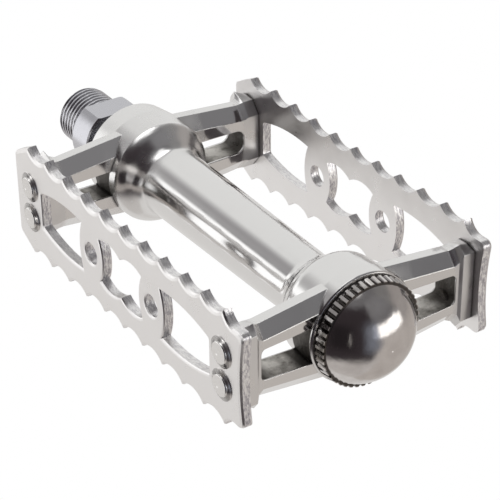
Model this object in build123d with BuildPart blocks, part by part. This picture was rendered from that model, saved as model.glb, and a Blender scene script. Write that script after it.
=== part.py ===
from build123d import *
import math
import os

# Touring pedal for a bicycle, right-hand side, in millimetres.
# The origin lies on the spindle axis, at the shoulder that seats against the crank arm.
# +Y runs along the spindle towards the crank, +X across the pedal and +Z up.
# Stations are measured along the spindle from the middle of the cage.

# Toothed cage plates, pressed from sheet
cage_width = 63.8
plate_thickness = 2.5
tooth_pitch = 8.1
tooth_count = 11
tooth_depth = 1.9
tip_height_mid = 12.95
tip_height_end = 14.0
tip_waist_bend = 2.28
tip_roll_share = 1.45
plate_past_tip_crank = 6.5
plate_past_tip_cap = 7.2
crank_corner_height = 10.6
cap_corner_height = 11.5
cap_scallop_run = 3.3
cap_scallop_drop = 2.6
cap_scallop_bend = (0.4, 0.7)
cap_end_hollow = 1.1
cap_end_bend = 0.75
plate_corner_radius = 1.4
edge_roll = 0.7
window_edge_roll = 0.45

# Windows and toe-clip holes of a plate
toe_clip_spacing = 25.4
toe_clip_hole_radius = 2.65
web_width_corner = 7.6
web_width_waist = 10.2
window_strip = 6.4
window_before_arm = 1.95
window_taper = 2.1
window_corner_radius = 0.8
cusp_drop = 1.75
centre_corner_drop = 1.3
web_corner_drop = 0.4
window_crown_share = 0.4
lobe_drop = 0.2
lobe_share = 0.62

# Arms of the cast body: heights of the top, of the bevel's lower edge and of the window
arm_past_tip = 0.2
cap_arm_depth = 6.9
crank_arm_depth = 7.4
arm_top_width = 2.4
arm_root_x = 6.0
cap_arm_root = (10.97, 7.73, 4.7)
cap_arm_end = (8.82, 5.88, 3.75)
crank_arm_root = (10.57, 7.16, 3.4)
crank_arm_end = (8.72, 5.46, 3.05)
cap_window_corner = 1.25
crank_window_corner = 2.25
arm_window_land = 1.3

# Lugs that carry the plates
lug_thickness = 3.1
lug_below_tip = 3.6
lug_end_height = 8.3
lug_saddle_height = 9.0
lug_inner_height = 5.9
lug_half_depth = 4.15
lug_peak_set_in = 1.6
lug_crown_set_in = 2.7
lug_crown_height = 9.15
lug_flare_run = 1.9
lug_flare_knee = 0.65
lug_flare_share = 0.3

# Rivets that hold the plates to the lugs
rivet_set_in = 0.5
rivet_height = 4.0
rivet_head_radius = 3.6
rivet_head_height = 1.2
rivet_head_edge = 0.2
rivet_shank_radius = 2.0
rivet_depth = 5.0

# Bearings: loose balls between pressed-in cups and the cones
ball_diameter = 3.969
ball_count = 12
ball_gap = 0.07
race_play = 0.03
cup_wall = 1.1
cup_floor = 1.2
cup_lip = 1.6
cup_bore_clearance = 1.6
cup_inner_share = 0.65
race_land = 1.0
race_relief = 0.1
crank_ball_past_arm = 3.3
cap_ball_before_arm = 3.7

# Barrel and housings of the cast body
housing_wall = 2.08
barrel_wall = 1.65
barrel_swell = 0.8
shank_clearance = 0.85
rim_past_arm = 7.8
rim_taper_from_arm = 1.3
cap_face_past_arm = 3.8
rim_wall = 1.35
rim_chamfer = 0.3
crank_arris_before_arm = 5.4
crank_arris_drop = 0.4
crank_shoulder_run = 8.0
crank_shoulder_bends = ((0.16, 0.13), (0.29, 0.33), (0.54, 0.8), (0.66, 0.91))
cap_cove_run = 3.5
cap_cove_rise = 1.7
cap_cove_slope = 0.85
seam_before_arm = 11.7
seam_depth = 0.12
seam_width = 0.35
seam_step = 0.15
cap_shoulder_before_arm = 6.2
cap_shoulder_drop = 0.45
cap_shoulder_bends = ((0.33, 0.47), (0.71, 0.9))

# Spindle
thread_radius = 7.144
thread_length = 10.3
thread_chamfer = 0.8
collar_radius = 9.15
collar_length = 7.3
collar_chamfer = 0.35
flat_width = 15.0
neck_radius = 6.9
neck_gap = 5.9
shank_radius = 5.05
shank_taper = 0.45
shank_step = 3.4
centre_hole_radius = 1.6
centre_hole_pilot = 0.5
end_thread_radius = 4.0
keyway_width = 2.0
keyway_depth = 0.9

# Outboard cone, lock washer, lock nut and the seal ring at the crank end
cone_radius = 7.1
cone_length_ahead = 1.6
cone_length_behind = 3.4
washer_radius = 6.3
washer_thickness = 1.0
tab_clearance = 0.1
nut_width = 12.0
nut_thickness = 4.0
spindle_past_nut = 1.0
seal_thickness = 1.5
seal_set_in = 0.3
seal_clearance = 0.15

# Dust cap
cap_skirt_wall = 1.1
cap_skirt_length = 2.4
cap_neck_length = 0.9
cap_neck_set_in = 1.1
knurl_length = 2.3
knurl_taper = 0.25
knurl_depth = 0.5
knurl_count = 46
knurl_crown_share = 0.4
knurl_flank_share = 0.18
knurl_set_in = 0.4
dome_sink = 0.4
dome_set_in = 0.05
dome_height = 7.6
cap_wall = 1.2

# Places worked out from the sizes above
tooth_span = tooth_pitch * (tooth_count - 1)
last_tip = tooth_span / 2
arm_station = last_tip + arm_past_tip
rim_station = arm_station + rim_past_arm
cap_face_station = -(arm_station + cap_face_past_arm)
crank_ball_station = arm_station + crank_ball_past_arm
cap_ball_station = -(arm_station - cap_ball_before_arm)
cage_mid = -(collar_length + neck_gap + rim_station)
plate_inner_x = cage_width / 2 - plate_thickness
lug_inner_x = plate_inner_x - lug_thickness
arm_end_x = lug_inner_x - lug_flare_run
window_height = tip_height_mid - window_strip
window_end = arm_station - cap_arm_depth / 2 - window_before_arm
lug_peak = tip_height_end - lug_below_tip
ball_radius = ball_diameter / 2
race_radius = ball_radius + race_play
ball_circle = (ball_diameter + ball_gap) / (2 * math.sin(math.pi / ball_count))
cup_radius = ball_circle + race_radius + cup_wall
cup_depth = race_radius + cup_floor
cup_bore = ball_circle - race_radius + cup_bore_clearance / 2
housing_radius = cup_radius + housing_wall
bore_radius = shank_radius + shank_clearance
barrel_radius_cap = bore_radius + barrel_wall
barrel_radius_crank = barrel_radius_cap + barrel_swell
crank_cup_seat = crank_ball_station - cup_depth
cap_cup_seat = cap_ball_station + cup_depth

body_plane = Plane((0, cage_mid, 0))


def plate_plane(side, x):
    """The plane of a plate at distance x, with +Y to its right and facing outwards."""
    return Plane((side * x, cage_mid, 0), x_dir=(0, 1, 0), z_dir=(side, 0, 0))


def section_plane(x, y):
    """A cross-section plane of an arm at (x, y), facing +X."""
    return Plane((x, y, 0), x_dir=(0, 1, 0), z_dir=(1, 0, 0))


def tip_height(station):
    """Height of the tooth tips, which drop to a gentle waist at the middle of the cage."""
    share = abs(station) / last_tip
    rise = tip_waist_bend * share**2 - (tip_waist_bend - 1) * share**4
    return tip_height_mid + (tip_height_end - tip_height_mid) * rise


def plate_outline(side, depth, inset):
    """The toothed outline of a plate at a depth in its thickness, drawn in by the inset."""
    with BuildSketch(plate_plane(side, plate_inner_x + depth)) as outline:
        with BuildLine():
            crank_end = last_tip + plate_past_tip_crank - inset
            cap_end = -last_tip - plate_past_tip_cap + inset
            crank_corner = (crank_end, crank_corner_height - inset)
            cap_corner = (cap_end, cap_corner_height - inset)
            tip_drop = tip_roll_share * inset
            Line((crank_end, 0), crank_corner)
            Line(crank_corner, (last_tip, tip_height_end - tip_drop))
            for tooth in range(tooth_count - 1):
                start = last_tip - tooth * tooth_pitch
                middle = start - tooth_pitch / 2
                finish = start - tooth_pitch
                ThreePointArc(
                    (start, tip_height(start) - tip_drop),
                    (middle, tip_height(middle) - tooth_depth - inset),
                    (finish, tip_height(finish) - tip_drop),
                )
            scallop_end = (-last_tip - cap_scallop_run, tip_height_end - cap_scallop_drop - inset)
            scallop_bend = (
                -last_tip - cap_scallop_bend[0] * cap_scallop_run,
                tip_height_end - cap_scallop_bend[1] * cap_scallop_drop - inset,
            )
            ThreePointArc((-last_tip, tip_height_end - tip_drop), scallop_bend, scallop_end)
            Line(scallop_end, cap_corner)
            ThreePointArc(
                cap_corner,
                (cap_end + cap_end_bend * cap_end_hollow, cap_corner_height / 2),
                (cap_end + cap_end_hollow, 0),
            )
            mirror(about=Plane.XZ)
        make_face()
        beyond_tips = last_tip + cap_scallop_run
        corners = outline.vertices().filter_by(
            lambda v: abs(v.X) > beyond_tips + plate_corner_radius / 2 and abs(v.Y) > plate_corner_radius
        )
        fillet(corners, plate_corner_radius)
    return outline.sketch


def end_window(side, end, depth, outset):
    """The long window between a toe-clip hole and an arm, tapering towards the arm."""
    web_corner = end * (toe_clip_spacing / 2 + web_width_corner / 2 - outset)
    web_waist = end * (toe_clip_spacing / 2 + web_width_waist / 2 - outset)
    arm_edge = end * (window_end + outset)
    web_height = window_height - web_corner_drop + outset
    arm_height_here = window_height - window_taper + outset
    crown = (web_corner + window_crown_share * (arm_edge - web_corner), window_height + outset)
    with BuildSketch(plate_plane(side, plate_inner_x + depth)) as window:
        with BuildLine():
            ThreePointArc((web_corner, -web_height), (web_waist, 0), (web_corner, web_height))
            ThreePointArc((web_corner, web_height), crown, (arm_edge, arm_height_here))
            Line((arm_edge, arm_height_here), (arm_edge, -arm_height_here))
            ThreePointArc((arm_edge, -arm_height_here), (crown[0], -crown[1]), (web_corner, -web_height))
        make_face()
        fillet(window.vertices().filter_by(lambda v: abs(v.X) > abs(crown[0])), window_corner_radius)
    return window.sketch


def centre_window(side, depth, outset):
    """The window between the toe-clip holes, with a pointed cusp above and below."""
    corner = toe_clip_spacing / 2 - web_width_corner / 2 + outset
    waist = toe_clip_spacing / 2 - web_width_waist / 2 + outset
    corner_height = window_height - centre_corner_drop + outset
    lobe = (lobe_share * corner, window_height - lobe_drop + outset)
    cusp_height = window_height - cusp_drop + outset
    with BuildSketch(plate_plane(side, plate_inner_x + depth)) as window:
        with BuildLine():
            for s in (1, -1):
                start = (s * corner, s * corner_height)
                finish = (-s * corner, s * corner_height)
                middle = (0, s * cusp_height)
                ThreePointArc(start, (s * lobe[0], s * lobe[1]), middle)
                ThreePointArc(middle, (-s * lobe[0], s * lobe[1]), finish)
                ThreePointArc(finish, (-s * waist, 0), (-s * corner, -s * corner_height))
        make_face()
    return window.sketch


def toe_clip_hole(side, end, depth, outset):
    """A round hole for a toe-clip bolt, at the middle of the web between two windows."""
    with BuildSketch(plate_plane(side, plate_inner_x + depth)) as hole:
        with Locations((end * toe_clip_spacing / 2, 0)):
            Circle(toe_clip_hole_radius + outset)
    return hole.sketch


def rolled_steps(roll):
    """Depth and inset of each section through a plate whose outer edge is rolled over."""
    quarter = 1 - math.cos(math.pi / 4)
    return [
        (0, 0),
        (plate_thickness - roll, 0),
        (plate_thickness - quarter * roll, quarter * roll),
        (plate_thickness, roll),
    ]


def rivet_places():
    """Rivet centres as (station, height) pairs, the same on both plates."""
    station = arm_station - rivet_set_in
    return [(sy * station, sz * rivet_height) for sy in (1, -1) for sz in (1, -1)]


def cage_plate(side):
    """One double-sided toothed plate, pierced by three windows, two holes and four rivets."""
    with BuildPart() as plate:
        loft([plate_outline(side, *step) for step in rolled_steps(edge_roll)], ruled=True)
        window_steps = rolled_steps(window_edge_roll)
        loft([centre_window(side, *step) for step in window_steps], ruled=True, mode=Mode.SUBTRACT)
        for end in (1, -1):
            loft([end_window(side, end, *step) for step in window_steps], ruled=True, mode=Mode.SUBTRACT)
            loft([toe_clip_hole(side, end, *step) for step in window_steps], ruled=True, mode=Mode.SUBTRACT)
        with BuildSketch(plate_plane(side, plate_inner_x)):
            with Locations(*rivet_places()):
                Circle(rivet_shank_radius)
        extrude(amount=plate_thickness, mode=Mode.SUBTRACT)
    return plate


def revolved(points):
    """A closed outline of (radius, station) points turned about the spindle axis."""
    with BuildPart() as turned:
        with BuildSketch(body_plane):
            with BuildLine():
                Polyline(*points, close=True)
            make_face()
        revolve(axis=Axis.Y)
    return turned.part


def limb_section(x, middle, points):
    """A closed section of an arm or lug at x, mirrored below the spindle's level."""
    below = [(y, -z) for y, z in reversed(points)]
    with BuildSketch(section_plane(x, middle)) as section:
        with BuildLine():
            Polyline(*points, *below, close=True)
        make_face()
    return section.sketch


def arm(side, end):
    """One windowed arm with the lug that carries a plate; end is 1 at the crank, -1 at the cap."""
    root_heights = crank_arm_root if end > 0 else cap_arm_root
    end_heights = crank_arm_end if end > 0 else cap_arm_end
    window_corner = crank_window_corner if end > 0 else cap_window_corner
    window_x = lug_inner_x - arm_window_land
    middle = cage_mid + end * arm_station
    arm_depth = crank_arm_depth if end > 0 else cap_arm_depth
    face = end * arm_depth / 2
    edge = end * arm_top_width / 2
    outer = end * lug_half_depth
    arm_root, arm_tip = (
        [(face, bevel), (edge, top), (-edge, top), (-face, bevel)]
        for top, bevel, window in (root_heights, end_heights)
    )
    lug_back = [(-edge, lug_saddle_height), (-face, lug_inner_height)]
    lug_front = [(outer, lug_end_height), (outer - end * lug_peak_set_in, lug_peak), *lug_back]
    lug_seat = [(outer, lug_end_height), (outer - end * lug_crown_set_in, lug_crown_height), *lug_back]
    lug_knee = [
        (a[0] + lug_flare_share * (b[0] - a[0]), a[1] + lug_flare_share * (b[1] - a[1]))
        for a, b in zip(arm_tip, lug_front)
    ]
    with BuildPart() as limb:
        sections = [
            limb_section(side * arm_root_x, middle, arm_root),
            limb_section(side * arm_end_x, middle, arm_tip),
            limb_section(side * (lug_inner_x - lug_flare_knee), middle, lug_knee),
            limb_section(side * lug_inner_x, middle, lug_front),
            limb_section(side * plate_inner_x, middle, lug_seat),
        ]
        loft(sections, ruled=True)
        with BuildSketch(Plane((0, middle, 0), x_dir=(1, 0, 0), z_dir=(0, -1, 0))) as window:
            with BuildLine():
                Polyline(
                    (side * arm_root_x, root_heights[2]),
                    (side * window_x, end_heights[2]),
                    (side * window_x, -end_heights[2]),
                    (side * arm_root_x, -root_heights[2]),
                    close=True,
                )
            make_face()
            fillet(window.vertices().filter_by(lambda v: abs(v.X) > arm_root_x + 1), window_corner)
        extrude(amount=arm_depth, both=True, mode=Mode.SUBTRACT)
    return limb.part


# The cast body: barrel, two bearing housings and four arms in one piece
with BuildPart() as pedal_body:
    for side in (1, -1):
        for end in (1, -1):
            add(arm(side, end))
    with BuildSketch(body_plane):
        with BuildLine():
            rim_radius = cup_radius + rim_wall
            crank_arris = (housing_radius - crank_arris_drop, arm_station - crank_arris_before_arm)
            barrel_crank_end = (barrel_radius_crank, crank_arris[1] - crank_shoulder_run)
            crank_fall = crank_arris[0] - barrel_radius_crank
            crank_bends = [
                (crank_arris[0] - fall * crank_fall, crank_arris[1] - run * crank_shoulder_run)
                for run, fall in crank_shoulder_bends
            ]
            seam_station = -(arm_station - seam_before_arm)
            seam_radius = barrel_radius_cap + cap_cove_rise
            barrel_cap_end = (barrel_radius_cap, seam_station + cap_cove_run)
            shoulder_start = (seam_radius + seam_step, seam_station - seam_width)
            shoulder_end = (housing_radius - cap_shoulder_drop, -(arm_station - cap_shoulder_before_arm))
            shoulder_rise = shoulder_end[0] - shoulder_start[0]
            shoulder_run = shoulder_end[1] - shoulder_start[1]
            cap_bends = [
                (shoulder_start[0] + rise * shoulder_rise, shoulder_start[1] + run * shoulder_run)
                for run, rise in cap_shoulder_bends
            ]
            Polyline(
                (bore_radius / 2, rim_station),
                (rim_radius - rim_chamfer, rim_station),
                (rim_radius, rim_station - rim_chamfer),
                (housing_radius, arm_station + rim_taper_from_arm),
                crank_arris,
            )
            Spline(crank_arris, *crank_bends, barrel_crank_end, tangents=[(-0.25, -1), (-0.02, -1)])
            Line(barrel_crank_end, barrel_cap_end)
            Spline(
                barrel_cap_end,
                (seam_radius, seam_station),
                tangents=[(0, -1), (cap_cove_slope, -1)],
            )
            Polyline(
                (seam_radius, seam_station),
                (seam_radius - seam_depth, seam_station - seam_width / 2),
                shoulder_start,
            )
            Spline(
                shoulder_start,
                *cap_bends,
                shoulder_end,
                tangents=[(cap_cove_slope, -1), (cap_shoulder_drop, -cap_shoulder_before_arm)],
            )
            Polyline(
                shoulder_end,
                (housing_radius, -arm_station),
                (housing_radius, cap_face_station + rim_chamfer),
                (housing_radius - rim_chamfer, cap_face_station),
                (bore_radius / 2, cap_face_station),
                (bore_radius / 2, rim_station),
            )
        make_face()
    revolve(axis=Axis.Y)
    with BuildSketch(body_plane):
        with BuildLine():
            Polyline(
                (0, rim_station),
                (cup_radius, rim_station),
                (cup_radius, crank_cup_seat),
                (bore_radius, crank_cup_seat),
                (bore_radius, cap_cup_seat),
                (cup_radius, cap_cup_seat),
                (cup_radius, cap_face_station),
                (0, cap_face_station),
                close=True,
            )
        make_face()
    revolve(axis=Axis.Y, mode=Mode.SUBTRACT)
    for side in (1, -1):
        with BuildSketch(plate_plane(side, plate_inner_x)):
            with Locations(*rivet_places()):
                Circle(rivet_shank_radius)
        extrude(amount=-rivet_depth, mode=Mode.SUBTRACT)
pedal_body.part.label = "pedal_body"

cage_plate_front = cage_plate(-1)
cage_plate_front.part.label = "cage_plate_front"
cage_plate_rear = cage_plate(1)
cage_plate_rear.part.label = "cage_plate_rear"


def rivet(side, station, height):
    """A domed drive rivet, its shank pressed through the plate into the lug."""
    seat = (side * cage_width / 2, cage_mid + station, height)
    shank_end = -(plate_thickness + rivet_depth)
    with BuildPart() as pin:
        with BuildSketch(Plane(seat, x_dir=(side, 0, 0), z_dir=(0, 0, 1))):
            with BuildLine():
                Polyline(
                    (rivet_head_height, 0),
                    (shank_end, 0),
                    (shank_end, rivet_shank_radius),
                    (0, rivet_shank_radius),
                    (0, rivet_head_radius),
                    (rivet_head_edge, rivet_head_radius),
                )
                TangentArc((rivet_head_height, 0), (rivet_head_edge, rivet_head_radius), tangent=(0, 1))
            make_face()
        revolve(axis=Axis(seat, (side, 0, 0)))
    return pin


# Inboard and outboard bearing cups, pressed into the housings
with BuildPart() as crank_cup:
    add(
        revolved(
            [
                (cup_bore, crank_cup_seat),
                (cup_radius, crank_cup_seat),
                (cup_radius, crank_ball_station + cup_lip),
                (ball_circle + race_radius, crank_ball_station + cup_lip),
                (ball_circle + race_radius, crank_ball_station),
                (ball_circle, crank_ball_station - race_radius / 2),
                (cup_bore, crank_ball_station - race_radius * cup_inner_share),
            ]
        )
    )
    with BuildSketch(body_plane):
        with Locations((ball_circle, crank_ball_station)):
            Circle(race_radius)
    revolve(axis=Axis.Y, mode=Mode.SUBTRACT)
crank_cup.part.label = "crank_side_cup"

with BuildPart() as cap_cup:
    add(
        revolved(
            [
                (cup_bore, cap_cup_seat),
                (cup_radius, cap_cup_seat),
                (cup_radius, cap_ball_station - cup_lip),
                (ball_circle + race_radius, cap_ball_station - cup_lip),
                (ball_circle + race_radius, cap_ball_station),
                (ball_circle, cap_ball_station + race_radius / 2),
                (cup_bore, cap_ball_station + race_radius * cup_inner_share),
            ]
        )
    )
    with BuildSketch(body_plane):
        with Locations((ball_circle, cap_ball_station)):
            Circle(race_radius)
    revolve(axis=Axis.Y, mode=Mode.SUBTRACT)
cap_cup.part.label = "cap_side_cup"


def bearing_ball(station, number):
    """One loose steel ball of a bearing, standing at its own angle on the ball circle."""
    angle = 2 * math.pi * number / ball_count
    with BuildPart() as ball:
        with Locations(
            (ball_circle * math.cos(angle), cage_mid + station, ball_circle * math.sin(angle))
        ):
            Sphere(ball_radius)
    return ball


# Spindle: crank thread, collar with two wrench flats, integral cone, tapered shank, end thread
cone_face_station = cap_ball_station - cone_length_behind
washer_face_station = cone_face_station - washer_thickness
nut_face_station = washer_face_station - nut_thickness
spindle_end = nut_face_station - spindle_past_nut
collar_station = -cage_mid
race_inner_radius = ball_circle - race_radius - race_relief
cone_front_station = cap_ball_station + cone_length_ahead
with BuildPart() as spindle:
    add(
        revolved(
            [
                (0, collar_station + thread_length),
                (thread_radius - thread_chamfer, collar_station + thread_length),
                (thread_radius, collar_station + thread_length - thread_chamfer),
                (thread_radius, collar_station),
                (collar_radius - collar_chamfer, collar_station),
                (collar_radius, collar_station - collar_chamfer),
                (collar_radius, collar_station - collar_length + collar_chamfer),
                (collar_radius - collar_chamfer, collar_station - collar_length),
                (neck_radius, collar_station - collar_length),
                (neck_radius, crank_ball_station),
                (race_inner_radius, crank_ball_station),
                (race_inner_radius, crank_ball_station - race_land),
                (shank_radius, crank_ball_station - shank_step),
                (shank_radius - shank_taper, cone_front_station + race_land),
                (end_thread_radius, cone_front_station),
                (end_thread_radius, spindle_end),
                (0, spindle_end),
            ]
        )
    )
    with BuildSketch(body_plane):
        with Locations((ball_circle, crank_ball_station)):
            Circle(race_radius)
    revolve(axis=Axis.Y, mode=Mode.SUBTRACT)
    for up in (1, -1):
        with Locations((0, -collar_length / 2, up * (flat_width / 2 + collar_radius / 2))):
            Box(3 * collar_radius, collar_length, collar_radius, mode=Mode.SUBTRACT)
    keyway_length = cone_face_station - spindle_end
    with Locations((0, cage_mid + cone_face_station - keyway_length / 2, end_thread_radius)):
        Box(keyway_width, keyway_length, 2 * keyway_depth, mode=Mode.SUBTRACT)
    with Locations(Plane((0, thread_length, 0), z_dir=(0, 1, 0))):
        CounterSinkHole(centre_hole_pilot, centre_hole_radius, depth=2 * centre_hole_radius)
spindle.part.label = "spindle"

with BuildPart() as outer_cone:
    add(
        revolved(
            [
                (end_thread_radius, cone_front_station),
                (race_inner_radius, cone_front_station),
                (race_inner_radius, cap_ball_station),
                (cone_radius, cap_ball_station),
                (cone_radius, cone_face_station),
                (end_thread_radius, cone_face_station),
            ]
        )
    )
    with BuildSketch(body_plane):
        with Locations((ball_circle, cap_ball_station)):
            Circle(race_radius)
    revolve(axis=Axis.Y, mode=Mode.SUBTRACT)
outer_cone.part.label = "outer_cone"

with BuildPart() as lock_washer:
    with BuildSketch(Plane((0, cage_mid + cone_face_station, 0), x_dir=(1, 0, 0), z_dir=(0, -1, 0))):
        Circle(washer_radius)
        Circle(end_thread_radius, mode=Mode.SUBTRACT)
        with Locations((0, end_thread_radius)):
            Rectangle(keyway_width - 2 * tab_clearance, 2 * (keyway_depth - tab_clearance))
    extrude(amount=washer_thickness)
lock_washer.part.label = "lock_washer"

with BuildPart() as lock_nut:
    with BuildSketch(Plane((0, cage_mid + washer_face_station, 0), x_dir=(1, 0, 0), z_dir=(0, -1, 0))):
        RegularPolygon(nut_width / 2, 6, major_radius=False)
        Circle(end_thread_radius, mode=Mode.SUBTRACT)
    extrude(amount=nut_thickness)
lock_nut.part.label = "lock_nut"

with BuildPart() as seal_ring:
    add(
        revolved(
            [
                (neck_radius + seal_clearance, rim_station - seal_set_in),
                (cup_radius, rim_station - seal_set_in),
                (cup_radius, rim_station - seal_set_in - seal_thickness),
                (neck_radius + seal_clearance, rim_station - seal_set_in - seal_thickness),
            ]
        )
    )
seal_ring.part.label = "seal_ring"


def knurl_outline(radius):
    """The toothed outline of the dust cap's rim, as points round a circle of the given radius."""
    crown = knurl_crown_share / 2
    valley = (knurl_flank_share + crown, 1 - knurl_flank_share - crown)
    points = []
    for tooth in range(knurl_count):
        for share, depth in ((-crown, 0), (crown, 0), (valley[0], knurl_depth), (valley[1], knurl_depth)):
            angle = 2 * math.pi * (tooth + share) / knurl_count
            points.append(((radius - depth) * math.cos(angle), (radius - depth) * math.sin(angle)))
    return points


def dome_profile(base, radius, height):
    """Half the section of a round dome that bulges away from the crank from its base station."""
    sphere_radius = (radius**2 + height**2) / (2 * height)
    half_angle = math.asin(radius / sphere_radius) / 2
    shoulder = (
        sphere_radius * math.sin(half_angle),
        base - height + sphere_radius * (1 - math.cos(half_angle)),
    )
    with BuildSketch() as half:
        with BuildLine():
            ThreePointArc((radius, base), shoulder, (0, base - height))
            Polyline((0, base - height), (0, base), (radius, base))
        make_face()
    return half.sketch


# Dust cap: a threaded skirt, a knurled rim and a hollow dome, pressed and turned in one piece
with BuildPart() as dust_cap:
    knurl_radius = housing_radius - knurl_set_in
    knurl_start = cap_face_station - cap_neck_length
    rim_end = knurl_start - knurl_length
    for station, radius in ((rim_end, knurl_radius - knurl_taper), (knurl_start, knurl_radius)):
        with BuildSketch(Plane((0, cage_mid + station, 0), z_dir=(0, 1, 0))):
            with BuildLine():
                Polyline(*knurl_outline(radius), close=True)
            make_face()
    loft(ruled=True)
    dome_base = rim_end + dome_sink
    dome_radius = knurl_radius - knurl_taper - knurl_depth - dome_set_in
    with BuildSketch(body_plane):
        add(dome_profile(dome_base, dome_radius, dome_height))
        with Locations((0, dome_base)):
            Rectangle(dome_radius, knurl_start - dome_base, align=Align.MIN)
        with Locations((0, knurl_start)):
            Rectangle(housing_radius - cap_neck_set_in, cap_neck_length, align=Align.MIN)
        with Locations((cup_radius, cap_face_station)):
            Rectangle(cap_skirt_wall, cap_skirt_length, align=(Align.MAX, Align.MIN))
    revolve(axis=Axis.Y)
    with BuildSketch(body_plane):
        hollow_radius = dome_radius - cap_wall
        add(dome_profile(dome_base, hollow_radius, dome_height - cap_wall))
        with BuildLine():
            Polyline(
                (0, dome_base),
                (hollow_radius, dome_base),
                (cup_radius - cap_skirt_wall, knurl_start),
                (cup_radius - cap_skirt_wall, cap_face_station),
                (0, cap_face_station),
                close=True,
            )
        make_face()
    revolve(axis=Axis.Y, mode=Mode.SUBTRACT)
dust_cap.part.label = "dust_cap"

os.makedirs("parts", exist_ok=True)
pieces = [
    pedal_body,
    cage_plate_front,
    cage_plate_rear,
    crank_cup,
    cap_cup,
    spindle,
    outer_cone,
    lock_washer,
    lock_nut,
    seal_ring,
    dust_cap,
]
for piece in pieces:
    export_step(piece.part, f"parts/{piece.part.label}.step")

for side, plate_name in ((-1, "front"), (1, "rear")):
    for number, (station, height) in enumerate(rivet_places(), start=1):
        pin = rivet(side, station, height)
        pin.part.label = f"rivet_{plate_name}_{number}"
        export_step(pin.part, f"parts/{pin.part.label}.step")

for bearing, station in (("crank", crank_ball_station), ("cap", cap_ball_station)):
    for number in range(ball_count):
        ball = bearing_ball(station, number)
        ball.part.label = f"{bearing}_side_ball_{number + 1:02d}"
        export_step(ball.part, f"parts/{ball.part.label}.step")
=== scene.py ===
import math

import bmesh
import bpy
from mathutils import Matrix, Vector


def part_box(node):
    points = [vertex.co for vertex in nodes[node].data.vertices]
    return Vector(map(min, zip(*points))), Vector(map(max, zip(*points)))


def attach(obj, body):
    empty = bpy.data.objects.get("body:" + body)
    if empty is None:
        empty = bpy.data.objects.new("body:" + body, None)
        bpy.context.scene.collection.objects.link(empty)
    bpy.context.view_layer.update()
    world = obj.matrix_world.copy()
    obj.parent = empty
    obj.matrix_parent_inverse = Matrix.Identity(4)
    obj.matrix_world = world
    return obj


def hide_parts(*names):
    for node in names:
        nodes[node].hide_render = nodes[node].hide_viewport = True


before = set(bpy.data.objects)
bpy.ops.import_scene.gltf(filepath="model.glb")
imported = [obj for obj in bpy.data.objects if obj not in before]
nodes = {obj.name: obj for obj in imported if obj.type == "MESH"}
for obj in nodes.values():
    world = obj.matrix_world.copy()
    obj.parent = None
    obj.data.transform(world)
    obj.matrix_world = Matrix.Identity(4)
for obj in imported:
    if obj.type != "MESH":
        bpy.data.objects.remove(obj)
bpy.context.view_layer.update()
scene = bpy.context.scene

# The eye looks down on the pedal from its outboard end and a little from its front plate, through
# a long lens that keeps the two plates almost parallel. Place and turns were fitted to the cage.
camera_place = Vector((-0.19973, -0.36565, 0.22083))
camera_turn = math.radians(-33.553)
camera_height_angle = math.radians(31.692)
camera_roll = math.radians(-0.545)
camera_data = bpy.data.cameras.new("camera")
camera_data.sensor_width = 36.0
camera_data.lens = 137.06
camera_data.clip_start = 0.01
camera_data.clip_end = 10.0
camera = bpy.data.objects.new("camera", camera_data)
scene.collection.objects.link(camera)
camera.matrix_world = (
    Matrix.Translation(camera_place)
    @ Matrix.Rotation(camera_turn, 4, "Z")
    @ Matrix.Rotation(math.pi / 2 - camera_height_angle, 4, "X")
    @ Matrix.Rotation(camera_roll, 4, "Z")
)
scene.camera = camera
scene.view_settings.view_transform = "Standard"


# The studio round the pedal: white paper under it that curves up behind, a lamp overhead, and a
# dark room with a window behind the camera. Polished metal mirrors them all, so they are laid
# round the sky as soft-edged patches; the eye itself sees plain white behind the pedal.
def linear(colour):
    """Turn an sRGB hex colour into the linear values that a shader takes."""
    shares = [int(colour[place:place + 2], 16) / 255 for place in (1, 3, 5)]
    return [s / 12.92 if s <= 0.04045 else ((s + 0.055) / 1.055) ** 2.4 for s in shares] + [1.0]


def add_node(tree, kind, settings=None, links=None):
    """Add one shader node, set its properties and its inputs by name or place, and link others."""
    new = tree.nodes.new(kind)
    for name, value in (settings or {}).items():
        if isinstance(name, str) and hasattr(new, name):
            setattr(new, name, value)
        else:
            new.inputs[name].default_value = value
    for name, source in (links or {}).items():
        tree.links.new(source, new.inputs[name])
    return new


world = bpy.data.worlds.new("studio")
world.use_nodes = True
scene.world = world
sky = world.node_tree
sky.nodes.clear()
direction = add_node(sky, "ShaderNodeTexCoord").outputs["Generated"]
axes = add_node(sky, "ShaderNodeSeparateXYZ", links={0: direction}).outputs
bearing = add_node(sky, "ShaderNodeMath", {"operation": "ARCTAN2"}, {0: axes["X"], 1: axes["Y"]}).outputs[0]
height = add_node(sky, "ShaderNodeMath", {"operation": "ARCSINE"}, {0: axes["Z"]}).outputs[0]


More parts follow.
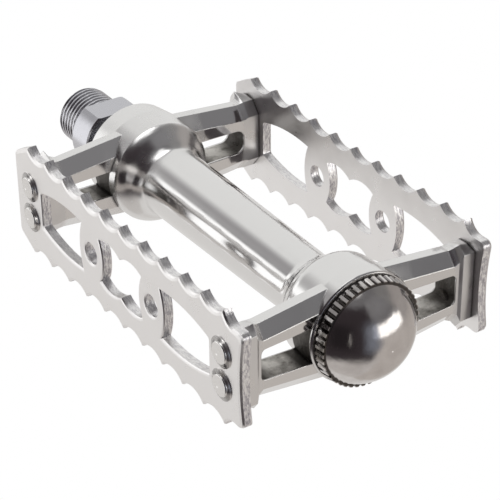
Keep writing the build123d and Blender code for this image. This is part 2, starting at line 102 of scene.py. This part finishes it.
def patch(under, colour, strength, turn, width, low, high, soft):
    """Lay a patch of light over the sky, in degrees; turn runs from the crank's side towards +X."""
    turn, width, low, high, soft = (math.radians(angle) for angle in (turn, width, low, high, soft))
    away = add_node(sky, "ShaderNodeMath", {"operation": "SUBTRACT", 1: turn}, {0: bearing}).outputs[0]
    once_round = {"operation": "WRAP", 1: math.pi, 2: -math.pi}
    aside = add_node(sky, "ShaderNodeMath", once_round, {0: away}).outputs[0]
    level = (low + high) / 2
    rise = add_node(sky, "ShaderNodeMath", {"operation": "SUBTRACT", 1: level}, {0: height}).outputs[0]
    shares = []
    for offset, half in ((aside, width / 2), (rise, (high - low) / 2)):
        far = add_node(sky, "ShaderNodeMath", {"operation": "ABSOLUTE"}, {0: offset}).outputs[0]
        edge = {"interpolation_type": "SMOOTHSTEP", 1: half + soft / 2, 2: half - soft / 2}
        shares.append(add_node(sky, "ShaderNodeMapRange", edge, {0: far}).outputs[0])
    share = add_node(sky, "ShaderNodeMath", {"operation": "MULTIPLY"}, {0: shares[0], 1: shares[1]})
    glow = [strength * value for value in linear(colour)[:3]] + [1.0]
    over = add_node(sky, "ShaderNodeMix", {"data_type": "RGBA", 7: glow}, {0: share.outputs[0], 6: under})
    return over.outputs[2]


light = add_node(sky, "ShaderNodeRGB").outputs[0]
light.default_value = linear("#757476")
for colour, strength, turn, width, low, high, soft in (
    # The paper under the pedal, duller on the window's side and under the camera
    ("#E2E0DE", 1.0, 0, 400, -95, -2, 6),
    ("#C6C0BB", 1.0, 120, 120, -95, -2, 10),
    ("#CDC9C6", 1.0, -130, 120, -95, -38, 16),
    # The paper's shaded right side, the paper that stands up behind, and a greyer place up left
    ("#ABA6A3", 1.0, 88, 62, -6, 38, 18),
    ("#EEEEED", 1.0, 12, 100, -6, 54, 14),
    ("#A2A0A1", 1.0, -42, 44, 23, 56, 24),
    # The left edge of the paper, lit hard, which gives the plates and the barrel their white
    ("#FFFFFF", 1.3, -41, 42, -22, 21, 6),
    # A wide lamp above and a little behind the pedal, with its glow on the ceiling all round
    ("#FFFFFF", 2.0, -14, 144, 62, 100, 8),
    ("#FFFFFF", 1.2, 0, 400, 80, 100, 8),
    # The dark room left of and behind the camera, and its darkest corner
    ("#3A3437", 1.0, -122, 120, -44, 58, 18),
    ("#282426", 1.0, -120, 44, -20, 24, 24),
    # A white card at the room's edge, and the paler wall between the room and the window
    ("#FFFFFF", 1.5, -66, 34, -27, 4, 6),
    ("#7E828C", 1.0, -177, 26, -26, 26, 22),
    # The walls above the paper's right side and above the window
    ("#8A8989", 1.0, 92, 66, 32, 60, 12),
    ("#848385", 1.0, 152, 56, 32, 66, 12),
    # The window's bluish reveal and its two panes, which are the dome's highlight
    ("#B4BBCB", 1.0, 176, 12, -2, 20, 8),
    ("#FFFDFA", 2.0, 149.5, 47, -3, 19.5, 3),
    ("#FFFDFA", 2.0, 124, 12, -2, 14.5, 5),
    # A door ajar in the dark room, a thin upright line on the dome
    ("#D8D4D0", 1.0, -136, 1.2, -13, 12, 0.8),
):
    light = patch(light, colour, strength, turn, width, low, high, soft)
seen_by = add_node(sky, "ShaderNodeLightPath").outputs
studio_light = add_node(sky, "ShaderNodeBackground", links={"Color": light})
plain_white = add_node(sky, "ShaderNodeBackground", {"Color": linear("#FFFFFF")})
both = add_node(
    sky,
    "ShaderNodeMixShader",
    links={0: seen_by["Is Camera Ray"], 1: studio_light.outputs[0], 2: plain_white.outputs[0]},
)
add_node(sky, "ShaderNodeOutputWorld", links={"Surface": both.outputs[0]})


# The body is one aluminium casting: a barrel, two bearing housings and four windowed arms that end
# in lugs. Its outside was polished on a wheel, brightest on the barrel and the inboard shoulder,
# and the arms' windows keep the raw skin of the mould.
rivet_boxes = [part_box(f"rivet_front_{number}") for number in range(1, 5)]
rivet_stations = [(low.y + high.y) / 2 for low, high in rivet_boxes]
cage_middle = (min(rivet_stations) + max(rivet_stations)) / 2
rivet_station = (max(rivet_stations) - min(rivet_stations)) / 2
arm_past_rivets = 0.0005
arm_station = rivet_station + arm_past_rivets
arm_half_depth = 0.0034
housing_radius = 0.0130
window_half_height = 0.0050
window_inner_end = 0.0100
window_outer_end = 0.0259
lug_root = 0.0238
lug_face = 0.0252


def start_material(name):
    """Begin an empty material and hand back its node tree and the place on the object."""
    material = bpy.data.materials.new(name)
    material.use_nodes = True
    material.node_tree.nodes.clear()
    place = add_node(material.node_tree, "ShaderNodeTexCoord").outputs["Object"]
    return material, material.node_tree, place


def dress(name, material):
    """Put a material on one of the frame's solids."""
    piece = nodes[name]
    piece.data.materials.clear()
    piece.data.materials.append(material)


cast_polished, tree, place = start_material("polished_cast_aluminium")
at = add_node(tree, "ShaderNodeSeparateXYZ", links={0: place}).outputs
station = add_node(tree, "ShaderNodeMath", {"operation": "SUBTRACT", 1: cage_middle}, {0: at["Y"]}).outputs[0]
# The wheel reached the barrel and the shoulder best, and left the inboard housing's end satin
ramp_half = 0.05
along = add_node(tree, "ShaderNodeMapRange", {1: -ramp_half, 2: ramp_half}, {0: station}).outputs[0]
polish_along = add_node(tree, "ShaderNodeValToRGB", links={0: along})
for number, (y, rough) in enumerate(
    ((-0.034, 0.13), (-0.026, 0.12), (0.022, 0.12), (0.028, 0.23), (0.0352, 0.23), (0.0362, 0.26))
):
    share = (y + ramp_half) / (2 * ramp_half)
    stops = polish_along.color_ramp.elements
    stop = stops[number] if number < 2 else stops.new(share)
    stop.position = share
    stop.color = (rough, rough, rough, 1.0)
# Clouds a few millimetres across keep the buffed skin from looking like new chrome
cloud = add_node(
    tree, "ShaderNodeTexNoise", {"Scale": 1 / 0.006, "Detail": 3.0, "Roughness": 0.6}, {"Vector": place}
)
cloudy = add_node(tree, "ShaderNodeMapRange", {1: 0.35, 2: 0.7, 3: 0.8, 4: 1.3}, {0: cloud.outputs["Fac"]})
out_way = add_node(tree, "ShaderNodeMath", {"operation": "ABSOLUTE"}, {0: at["X"]}).outputs[0]
# The arms' flats are the brightest of all, and the lugs were only filed and brushed
arm_start = {1: housing_radius + 0.0004, 2: housing_radius + 0.0010}
on_arm = add_node(tree, "ShaderNodeMapRange", arm_start, {0: out_way}).outputs[0]
flat_polish = add_node(tree, "ShaderNodeMix", {3: 0.09}, {0: on_arm, 2: polish_along.outputs[0]}).outputs[0]
on_lug = add_node(tree, "ShaderNodeMapRange", {1: lug_root, 2: lug_face}, {0: out_way}).outputs[0]
flat_polish = add_node(tree, "ShaderNodeMix", {3: 0.34}, {0: on_lug, 2: flat_polish}).outputs[0]
buffed = add_node(
    tree, "ShaderNodeMath", {"operation": "MULTIPLY"}, {0: flat_polish, 1: cloudy.outputs[0]}
)
# Raw skin lies inside the arms' depth, between the rails and clear of the barrel and the lug's face
end_way = add_node(tree, "ShaderNodeMath", {"operation": "ABSOLUTE"}, {0: station}).outputs[0]
from_arm = add_node(tree, "ShaderNodeMath", {"operation": "SUBTRACT", 1: arm_station}, {0: end_way})
arm_side = add_node(tree, "ShaderNodeMath", {"operation": "ABSOLUTE"}, {0: from_arm.outputs[0]}).outputs[0]
up_down = add_node(tree, "ShaderNodeMath", {"operation": "ABSOLUTE"}, {0: at["Z"]}).outputs[0]
raw = None
for value, outside, inside in (
    (arm_side, arm_half_depth - 0.00005, arm_half_depth - 0.0003),
    (up_down, window_half_height + 0.0002, window_half_height - 0.0002),
    (out_way, window_inner_end - 0.0015, window_inner_end),
    (out_way, window_outer_end + 0.0003, window_outer_end),
):
    share = add_node(tree, "ShaderNodeMapRange", {1: outside, 2: inside}, {0: value}).outputs[0]
    if raw is not None:
        share = add_node(tree, "ShaderNodeMath", {"operation": "MULTIPLY"}, {0: raw, 1: share}).outputs[0]
    raw = share
# It is grainy and blotched, dull grey beside the bright arms
grain = add_node(
    tree, "ShaderNodeTexNoise", {"Scale": 1 / 0.0006, "Detail": 4.0, "Roughness": 0.6}, {"Vector": place}
)
blotch = add_node(
    tree, "ShaderNodeTexNoise", {"Scale": 1 / 0.004, "Detail": 5.0, "Roughness": 0.6}, {"Vector": place}
)
raw_share = add_node(tree, "ShaderNodeMapRange", {1: 0.36, 2: 0.6}, {0: blotch.outputs["Fac"]}).outputs[0]
raw_tint = add_node(
    tree,
    "ShaderNodeMix",
    {"data_type": "RGBA", 6: linear("#8E8A84"), 7: linear("#E2DFDA")},
    {0: raw_share},
).outputs[2]
# Painted shade: the raw skin is coloured dark towards both ends of a window, where it lies deep in shadow
for shade_starts_at, shade_full_at in ((0.0165, 0.0145), (0.0208, 0.0236)):
    window_end_shade = add_node(tree, "ShaderNodeMapRange", {1: shade_starts_at, 2: shade_full_at, 4: 0.85}, {0: out_way}).outputs[0]
    raw_tint = add_node(
        tree, "ShaderNodeMix", {"data_type": "RGBA", 7: linear("#3C3733")}, {0: window_end_shade, 6: raw_tint}
    ).outputs[2]
tint = add_node(
    tree, "ShaderNodeMix", {"data_type": "RGBA", 6: linear("#E6E5E4")}, {0: raw, 7: raw_tint}
).outputs[2]
roughness = add_node(tree, "ShaderNodeMix", {3: 0.55}, {0: raw, 2: buffed.outputs[0]}).outputs[0]
# Painted shade: ambient occlusion darkens the colour and raises the roughness in every tight corner, such as
# where a plate meets a lug
corner = add_node(tree, "ShaderNodeAmbientOcclusion", {"samples": 8, "Distance": 0.0011}).outputs["AO"]
painted_corner_shade = add_node(tree, "ShaderNodeMapRange", {1: 0.78, 2: 0.5, 4: 0.9}, {0: corner}).outputs[0]
tint = add_node(
    tree, "ShaderNodeMix", {"data_type": "RGBA", 7: linear("#2E2A27")}, {0: painted_corner_shade, 6: tint}
).outputs[2]
roughness = add_node(tree, "ShaderNodeMix", {3: 0.6}, {0: painted_corner_shade, 2: roughness}).outputs[0]
# Worn arrises: a quarter of a millimetre of each edge is rounded and catches the window
rounded = add_node(tree, "ShaderNodeBevel", {"samples": 8, "Radius": 0.00025})
raw_relief = add_node(
    tree,
    "ShaderNodeBump",
    {"Distance": 0.00015},
    {"Height": grain.outputs["Fac"], "Strength": raw, "Normal": rounded.outputs[0]},
)
surface = add_node(
    tree,
    "ShaderNodeBsdfPrincipled",
    {"Metallic": 1.0},
    {"Base Color": tint, "Roughness": roughness, "Normal": raw_relief.outputs[0]},
)
add_node(tree, "ShaderNodeOutputMaterial", links={"Surface": surface.outputs[0]})
dress("pedal_body", cast_polished)

# Two cups are turned from bearing steel, hardened, ground and pressed into the housings for the
# balls to run in; the outer cone is screwed on the spindle and made the same way.
ground_steel, tree, place = start_material("ground_bearing_steel")
# Grinding leaves a grey sheen with fine rings round the axis
lines = add_node(
    tree, "ShaderNodeTexWave", {"bands_direction": "Y", "Scale": 1 / 0.0008}, {"Vector": place}
)
shade = add_node(
    tree,
    "ShaderNodeMix",
    {"data_type": "RGBA", 6: linear("#9A9A9C"), 7: linear("#B4B4B6")},
    {0: lines.outputs["Fac"]},
)
surface = add_node(
    tree,
    "ShaderNodeBsdfPrincipled",
    {"Metallic": 1.0, "Roughness": 0.3},
    {"Base Color": shade.outputs[2]},
)
add_node(tree, "ShaderNodeOutputMaterial", links={"Surface": surface.outputs[0]})
for name in ("crank_side_cup", "cap_side_cup", "outer_cone"):
    dress(name, ground_steel)

# Twelve loose balls of chrome steel run in each cup, round the spindle's own race at the crank and
# round the cone at the cap. They are forged, ground and lapped, and lie hidden in the housings.
lapped_steel, tree, place = start_material("lapped_chrome_steel")
# Lapping gives a mirror with the faintest haze
haze = add_node(tree, "ShaderNodeTexNoise", {"Scale": 1 / 0.001, "Detail": 2.0}, {"Vector": place})
polish = add_node(tree, "ShaderNodeMapRange", {3: 0.05, 4: 0.12}, {0: haze.outputs["Fac"]})
surface = add_node(
    tree,
    "ShaderNodeBsdfPrincipled",
    {"Metallic": 1.0, "Base Color": linear("#CBCBCD")},
    {"Roughness": polish.outputs[0]},
)
add_node(tree, "ShaderNodeOutputMaterial", links={"Surface": surface.outputs[0]})
for end in ("crank", "cap"):
    for number in range(1, 13):
        dress(f"{end}_side_ball_{number:02d}", lapped_steel)

# The spindle is turned from steel and plated, and its crank end carries a rolled thread of 9/16
# inch with 20 turns to the inch. The thread is cut here on the plain blank of the frame.
thread_pitch = 0.0254 / 20
thread_outer = 0.007144
thread_depth = 0.00055
flank_slope = 3.2
thread_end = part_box("spindle")[1].y
thread_chamfer = 0.0008
chamfer_slope = 0.9
thread_run_out = 0.0009
shoulder_ring_radius = thread_outer * 1.01
centre_radius = 0.0016
centre_depth = 0.0014
steps_round = 96
steps_per_turn = 12
just_past_shoulder = 0.00001
sharp_angle = math.radians(25)


def thread_radius(turn, y):
    """The thread's radius at an angle, in turns, and a distance from the collar's shoulder."""
    phase = (y / thread_pitch + turn) % 1.0
    slope = min(abs(phase - 0.5) * flank_slope, 1.0)
    full = thread_outer - thread_depth * (1 - slope)
    tip = thread_outer - max(0.0, y - (thread_end - thread_chamfer)) * chamfer_slope
    run_out = thread_outer - thread_depth * min(1.0, max(0.0, (thread_run_out - y) / thread_run_out))
    return min(full, tip, run_out)


def add_ring(mesh, y, radii):
    """Add one ring of points round the spindle's axis, a radius for each step round."""
    ring = []
    for step, radius in enumerate(radii):
        angle = 2 * math.pi * step / steps_round
        ring.append(mesh.verts.new((radius * math.cos(angle), y, radius * math.sin(angle))))
    return ring


def close_strip(mesh, first, second):
    """Close the strip between two rings of points with faces."""
    for step in range(steps_round):
        after = (step + 1) % steps_round
        mesh.faces.new((first[step], second[step], second[after], first[after]))


work = bmesh.new()
work.from_mesh(nodes["spindle"].data)
bmesh.ops.remove_doubles(work, verts=work.verts, dist=1e-7)
beyond = [face for face in work.faces if face.calc_center_median().y > just_past_shoulder]
bmesh.ops.delete(work, geom=beyond, context="FACES")
rows = int(thread_end / thread_pitch * steps_per_turn)
rings = []
for row in range(rows + 1):
    y = thread_end * row / rows
    rings.append(add_ring(work, y, [thread_radius(step / steps_round, y) for step in range(steps_round)]))
for lower, upper in zip(rings, rings[1:]):
    close_strip(work, lower, upper)
# A countersunk centre hole in the end face, left from turning
mouth = add_ring(work, thread_end, [centre_radius] * steps_round)
close_strip(work, rings[-1], mouth)
bottom = work.verts.new((0.0, thread_end - centre_depth, 0.0))
for step in range(steps_round):
    work.faces.new((mouth[step], bottom, mouth[(step + 1) % steps_round]))
# The shoulder's face reaches in to the root of the first turn
close_strip(work, add_ring(work, 0.0, [shoulder_ring_radius] * steps_round), rings[0])
work.normal_update()
for face in work.faces:
    face.smooth = True
for edge in work.edges:
    edge.smooth = edge.calc_face_angle(math.pi) < sharp_angle
threaded = bpy.data.meshes.new("threaded_spindle")
work.to_mesh(threaded)
work.free()
spindle_look = bpy.data.objects.new("threaded_spindle", threaded)
scene.collection.objects.link(spindle_look)
plated_steel, tree, place = start_material("plated_turned_steel")
# The plating has a cool, slightly uneven sheen, broken by the fine lines of the lathe
at = add_node(tree, "ShaderNodeSeparateXYZ", links={0: place}).outputs
turned = add_node(
    tree,
    "ShaderNodeTexNoise",
    {"noise_dimensions": "1D", "Scale": 1 / 0.0002, "Detail": 3.0},
    {"W": at["Y"]},
)
fine = add_node(tree, "ShaderNodeTexNoise", {"Scale": 1 / 0.0015, "Detail": 4.0}, {"Vector": place})
polish = add_node(tree, "ShaderNodeMapRange", {3: 0.16, 4: 0.36}, {0: fine.outputs["Fac"]})
relief = add_node(
    tree, "ShaderNodeBump", {"Distance": 0.00002, "Strength": 0.3}, {"Height": turned.outputs["Fac"]}
)
surface = add_node(
    tree,
    "ShaderNodeBsdfPrincipled",
    {"Metallic": 1.0, "Base Color": linear("#C6C6CB")},
    {"Roughness": polish.outputs[0], "Normal": relief.outputs[0]},
)
add_node(tree, "ShaderNodeOutputMaterial", links={"Surface": surface.outputs[0]})
threaded.materials.append(plated_steel)
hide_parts("spindle")
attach(spindle_look, "spindle")

# A tabbed washer and a nut lock the outer cone on the spindle's far end, inside the dust cap.
# They are of the same plated steel as the spindle.
dress("lock_washer", plated_steel)
dress("lock_nut", plated_steel)

# A moulded rubber ring is pushed into the mouth of the inboard housing, behind the collar, to keep
# grit out of the bearing.
seal_rubber, tree, place = start_material("moulded_nitrile_rubber")
# Black and matt, with a fine uneven skin
skin = add_node(tree, "ShaderNodeTexNoise", {"Scale": 1 / 0.0004, "Detail": 3.0}, {"Vector": place})
shade = add_node(
    tree,
    "ShaderNodeMix",
    {"data_type": "RGBA", 6: linear("#1C1A19"), 7: linear("#2B2928")},
    {0: skin.outputs["Fac"]},
)
surface = add_node(
    tree,
    "ShaderNodeBsdfPrincipled",
    {"Roughness": 0.6, "IOR": 1.52},
    {"Base Color": shade.outputs[2]},
)
add_node(tree, "ShaderNodeOutputMaterial", links={"Surface": surface.outputs[0]})
dress("seal_ring", seal_rubber)

# The two cage plates are blanked from aluminium sheet and riveted to the lugs. The punch rolls one
# arris over and tears the cut wall, and tumbling leaves the face a soft satin.
sheet_satin, tree, place = start_material("tumbled_aluminium_sheet")
facing = add_node(tree, "ShaderNodeNewGeometry").outputs["Normal"]
face_axes = add_node(tree, "ShaderNodeSeparateXYZ", links={0: facing}).outputs
sideways = add_node(tree, "ShaderNodeMath", {"operation": "ABSOLUTE"}, {0: face_axes["X"]}).outputs[0]
cut_wall = add_node(tree, "ShaderNodeMapRange", {1: 0.25, 2: 0.1}, {0: sideways}).outputs[0]
# The floor of each scallop, which shoes rub bright, has lost half of its tear
floor_share = {1: 0.6, 2: 0.92, 3: 1.0, 4: 0.45}
rubbed = add_node(tree, "ShaderNodeMapRange", floor_share, {0: face_axes["Z"]}).outputs[0]
torn = add_node(tree, "ShaderNodeMath", {"operation": "MULTIPLY"}, {0: cut_wall, 1: rubbed}).outputs[0]
# Tumbling wears the rolled arris most beside the face, so its turn starts slowly and ends sharply
worn = add_node(tree, "ShaderNodeMapRange", {1: 0.15, 2: 0.4, 4: 1.3}, {0: sideways}).outputs[0]
outward = add_node(tree, "ShaderNodeMath", {"operation": "SIGN"}, {0: face_axes["X"]}).outputs[0]
lean = add_node(tree, "ShaderNodeMath", {"operation": "MULTIPLY"}, {0: worn, 1: outward}).outputs[0]
lean = add_node(tree, "ShaderNodeCombineXYZ", links={"X": lean}).outputs[0]
leant = add_node(tree, "ShaderNodeVectorMath", {"operation": "ADD"}, {0: facing, 1: lean}).outputs[0]
leant = add_node(tree, "ShaderNodeVectorMath", {"operation": "NORMALIZE"}, {0: leant}).outputs[0]
cloud = add_node(
    tree, "ShaderNodeTexNoise", {"Scale": 1 / 0.005, "Detail": 4.0, "Roughness": 0.6}, {"Vector": place}
)
satin = add_node(tree, "ShaderNodeMapRange", {1: 0.3, 2: 0.7, 3: 0.26, 4: 0.38}, {0: cloud.outputs["Fac"]})
# The tear is drawn out along the wall, dull where it was burnished and bright where it broke
stretch = add_node(
    tree, "ShaderNodeMapping", {"Scale": (1 / 0.0004, 1 / 0.0013, 1 / 0.0013)}, {"Vector": place}
)
tear = add_node(
    tree,
    "ShaderNodeTexNoise",
    {"Scale": 1.0, "Detail": 5.0, "Roughness": 0.65, "Distortion": 0.6},
    {"Vector": stretch.outputs[0]},
)
torn_tint = add_node(tree, "ShaderNodeValToRGB", links={0: tear.outputs["Fac"]})
for number, (share, colour) in enumerate(
    ((0.36, "#B2B0B5"), (0.46, "#D4D3D8"), (0.53, "#EFEDEC"), (0.57, "#FFFFFF"))
):
    stops = torn_tint.color_ramp.elements
    stop = stops[number] if number < 2 else stops.new(share)
    stop.position = share
    stop.color = linear(colour)
tint = add_node(
    tree,
    "ShaderNodeMix",
    {"data_type": "RGBA", 6: linear("#EAE8E7")},
    {0: torn, 7: torn_tint.outputs[0]},
).outputs[2]
roughness = add_node(tree, "ShaderNodeMix", {3: 0.3}, {0: cut_wall, 2: satin.outputs[0]}).outputs[0]
relief = add_node(
    tree,
    "ShaderNodeBump",
    {"Distance": 0.00012},
    {"Height": tear.outputs["Fac"], "Strength": torn, "Normal": leant},
)
surface = add_node(
    tree,
    "ShaderNodeBsdfPrincipled",
    {"Metallic": 1.0},
    {"Base Color": tint, "Roughness": roughness, "Normal": relief.outputs[0]},
)
add_node(tree, "ShaderNodeOutputMaterial", links={"Surface": surface.outputs[0]})
for name in ("cage_plate_front", "cage_plate_rear"):
    dress(name, sheet_satin)

# Eight aluminium rivets pin the plates to the lugs, four to a plate. Setting them flattened the
# middle of each dome and left a bright bend and a steep, dark side round it.
rivet_height = sum(corner.z for corner in rivet_boxes[0]) / 2
dome_ball_radius = 0.00698
bend_start = 0.0023
bend_end = 0.0039
bend_drop = 0.0026
set_rivet, tree, place = start_material("set_aluminium_rivet")
at = add_node(tree, "ShaderNodeSeparateXYZ", links={0: place}).outputs
station = add_node(tree, "ShaderNodeMath", {"operation": "SUBTRACT", 1: cage_middle}, {0: at["Y"]}).outputs[0]
offsets = []
for value, centre in ((station, rivet_station), (at["Z"], rivet_height)):
    far = add_node(tree, "ShaderNodeMath", {"operation": "ABSOLUTE"}, {0: value}).outputs[0]
    offset = add_node(tree, "ShaderNodeMath", {"operation": "SUBTRACT", 1: centre}, {0: far})
    offsets.append(offset.outputs[0])
across = add_node(tree, "ShaderNodeCombineXYZ", links={"X": offsets[0], "Y": offsets[1]}).outputs[0]
reach = add_node(tree, "ShaderNodeVectorMath", {"operation": "LENGTH"}, {0: across}).outputs["Value"]
# Raising the height by the dome's own fall makes it shade as flat, out to the bend
square = add_node(tree, "ShaderNodeMath", {"operation": "MULTIPLY"}, {0: reach, 1: reach}).outputs[0]
dome_fall = {"operation": "MULTIPLY", 1: 1 / (2 * dome_ball_radius)}
flattened = add_node(tree, "ShaderNodeMath", dome_fall, {0: square}).outputs[0]
steep = add_node(
    tree,
    "ShaderNodeMapRange",
    {"interpolation_type": "SMOOTHSTEP", 1: bend_start, 2: bend_end, 3: 0.0, 4: -bend_drop},
    {0: reach},
).outputs[0]
set_shape = add_node(tree, "ShaderNodeMath", {"operation": "ADD"}, {0: flattened, 1: steep}).outputs[0]
head = add_node(tree, "ShaderNodeBump", {"Distance": 1.0}, {"Height": set_shape}).outputs[0]
# The set left small dents and an uneven shine
dents = add_node(tree, "ShaderNodeTexNoise", {"Scale": 1 / 0.0015, "Detail": 3.0}, {"Vector": place})
polish = add_node(tree, "ShaderNodeMapRange", {3: 0.16, 4: 0.26}, {0: dents.outputs["Fac"]})
relief = add_node(
    tree,
    "ShaderNodeBump",
    {"Distance": 0.0001, "Strength": 0.4},
    {"Height": dents.outputs["Fac"], "Normal": head},
)
surface = add_node(
    tree,
    "ShaderNodeBsdfPrincipled",
    {"Metallic": 1.0, "Base Color": linear("#E4E2E0")},
    {"Roughness": polish.outputs[0], "Normal": relief.outputs[0]},
)
add_node(tree, "ShaderNodeOutputMaterial", links={"Surface": surface.outputs[0]})
for plate in ("front", "rear"):
    for number in range(1, 5):
        dress(f"rivet_{plate}_{number}", set_rivet)

# The dust cap is pressed and turned in one piece, knurled for the fingers, polished bright and
# screwed into the outboard housing. Its knurl's valleys are coloured dark as painted shade.
knurl_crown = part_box("dust_cap")[1].x
knurl_depth = 0.0005
valley_shade_depth = 0.00028
knurl_middle = cage_middle - 0.0466
knurl_half_length = 0.0012
polished_cap, tree, place = start_material("polished_dust_cap")
at = add_node(tree, "ShaderNodeSeparateXYZ", links={0: place}).outputs
around = add_node(tree, "ShaderNodeCombineXYZ", links={"X": at["X"], "Y": at["Z"]}).outputs[0]
reach = add_node(tree, "ShaderNodeVectorMath", {"operation": "LENGTH"}, {0: around}).outputs["Value"]
in_valley = {1: knurl_crown - valley_shade_depth, 2: knurl_crown - knurl_depth}
deep = add_node(tree, "ShaderNodeMapRange", in_valley, {0: reach}).outputs[0]
along = add_node(tree, "ShaderNodeMath", {"operation": "SUBTRACT", 1: knurl_middle}, {0: at["Y"]}).outputs[0]
off_middle = add_node(tree, "ShaderNodeMath", {"operation": "ABSOLUTE"}, {0: along}).outputs[0]
on_knurl = add_node(
    tree, "ShaderNodeMapRange", {1: knurl_half_length, 2: knurl_half_length - 0.0001}, {0: off_middle}
).outputs[0]
painted_valley_shade = add_node(tree, "ShaderNodeMath", {"operation": "MULTIPLY"}, {0: deep, 1: on_knurl}).outputs[0]
# A haze of handling clouds the mirror of the dome
haze = add_node(tree, "ShaderNodeTexNoise", {"Scale": 1 / 0.004, "Detail": 5.0}, {"Vector": place})
polish = add_node(tree, "ShaderNodeMapRange", {1: 0.3, 2: 0.7, 3: 0.09, 4: 0.2}, {0: haze.outputs["Fac"]})
clouded = add_node(
    tree,
    "ShaderNodeMix",
    {"data_type": "RGBA", 6: linear("#E6E3E1"), 7: linear("#BDB8B5")},
    {0: haze.outputs["Fac"]},
).outputs[2]
# Painted shade: the knurl's valleys take a dark grey over the clouded polish
tint = add_node(
    tree, "ShaderNodeMix", {"data_type": "RGBA", 7: linear("#524E4B")}, {0: painted_valley_shade, 6: clouded}
).outputs[2]
# Slow waves left by the buffing wheel break the edges of whatever the dome mirrors
waves = add_node(tree, "ShaderNodeTexNoise", {"Scale": 1 / 0.006, "Detail": 3.0}, {"Vector": place})
buffed = add_node(
    tree, "ShaderNodeBump", {"Distance": 0.0004, "Strength": 0.3}, {"Height": waves.outputs["Fac"]}
)
surface = add_node(
    tree,
    "ShaderNodeBsdfPrincipled",
    {"Metallic": 1.0},
    {"Base Color": tint, "Roughness": polish.outputs[0], "Normal": buffed.outputs[0]},
)
add_node(tree, "ShaderNodeOutputMaterial", links={"Surface": surface.outputs[0]})
dress("dust_cap", polished_cap)
